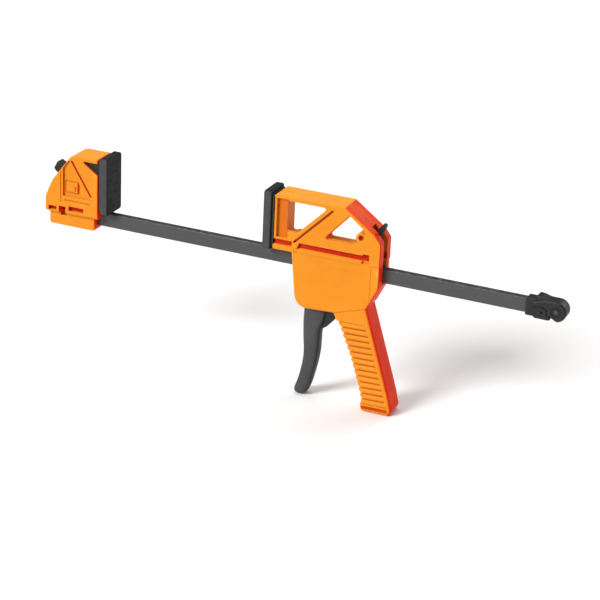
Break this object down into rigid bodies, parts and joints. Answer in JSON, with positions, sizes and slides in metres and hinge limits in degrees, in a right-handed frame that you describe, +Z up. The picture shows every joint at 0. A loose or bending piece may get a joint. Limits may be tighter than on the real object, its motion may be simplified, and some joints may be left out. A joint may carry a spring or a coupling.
{
  "type": "one-hand bar clamp",
  "caption": "F-shaped one-hand bar clamp: fixed jaw and end stop on a flat steel bar, with a sliding trigger-grip jaw, release lever and padded jaws.",
  "frame": {"origin": "centre of the fixed jaw's pressing face", "axes": "+X along the bar from the fixed jaw towards the end stop, +Z up from the bar towards the jaw tips, Y across the clamp's width with the screw heads on the +Y side"},
  "size_m": [0.4557, 0.026, 0.1755],
  "materials": {
    "orange_plastic": "satin moulded orange plastic",
    "black_plastic": "fine-textured black plastic",
    "pad_rubber": "matt dark grey rubber",
    "black_bar_steel": "blackened steel",
    "zinc_steel": "zinc-plated steel",
    "spring_steel": "drawn spring wire"
  },
  "bodies": {
    "bar_and_fixed_jaw": {"bar": "black_bar_steel", "fixed_jaw_body": "orange_plastic", "fixed_jaw_pad": "pad_rubber", "jaw_latch_pin": "zinc_steel", "jaw_latch_spring": "spring_steel", "bar_end_stop": "black_plastic", "end_stop_pin": "zinc_steel"},
    "jaw_latch": {"jaw_latch_lever": "black_plastic"},
    "sliding_jaw": {"near_shell": "orange_plastic", "far_shell": "orange_plastic", "moving_jaw_pad": "pad_rubber", "trigger_pin": "zinc_steel", "drive_spring": "spring_steel", "brake_spring": "spring_steel", "shell_screw_1": "zinc_steel", "shell_screw_2": "zinc_steel", "shell_screw_3": "zinc_steel", "shell_screw_4": "zinc_steel", "shell_screw_5": "zinc_steel", "shell_screw_6": "zinc_steel"},
    "trigger_lever": {"trigger": "black_plastic"},
    "drive_plates": {"drive_plate_front": "zinc_steel", "drive_plate_rear": "zinc_steel"},
    "release_lever": {"brake_plate": "zinc_steel", "release_tab": "black_plastic"}
  },
  "joints": [
    {"name": "jaw_slide", "type": "slide", "parent": "bar_and_fixed_jaw", "child": "sliding_jaw", "axis": [1, 0, 0], "range_m": [-0.1415, 0.1185]},
    {"name": "trigger_squeeze", "type": "hinge", "parent": "sliding_jaw", "child": "trigger_lever", "pos_m": [0.188, 0, -0.019], "axis": [0, -1, 0], "range_deg": [0, 16], "stiffness_Nm_per_rad": 0.08, "springref_deg": -14.32},
    {"name": "drive_plate_slide", "type": "slide", "parent": "sliding_jaw", "child": "drive_plates", "axis": [1, 0, 0], "range_m": [0, 0.0036], "deforming": ["drive_spring"]},
    {"name": "release_press", "type": "hinge", "parent": "sliding_jaw", "child": "release_lever", "pos_m": [0.232, 0, -0.015], "axis": [0, -1, 0], "range_deg": [0, 8], "stiffness_Nm_per_rad": 0.06, "springref_deg": -14.32, "deforming": ["brake_spring"]},
    {"name": "jaw_latch_press", "type": "hinge", "parent": "bar_and_fixed_jaw", "child": "jaw_latch", "pos_m": [-0.026, 0, -0.02], "axis": [0, 1, 0], "range_deg": [0, 8], "stiffness_Nm_per_rad": 0.05, "springref_deg": -14.32, "deforming": ["jaw_latch_spring"]}
  ],
  "couplings": [
    {"joint": "drive_plate_slide", "follows": "trigger_squeeze", "m_per_rad": 0.0125}
  ]
}
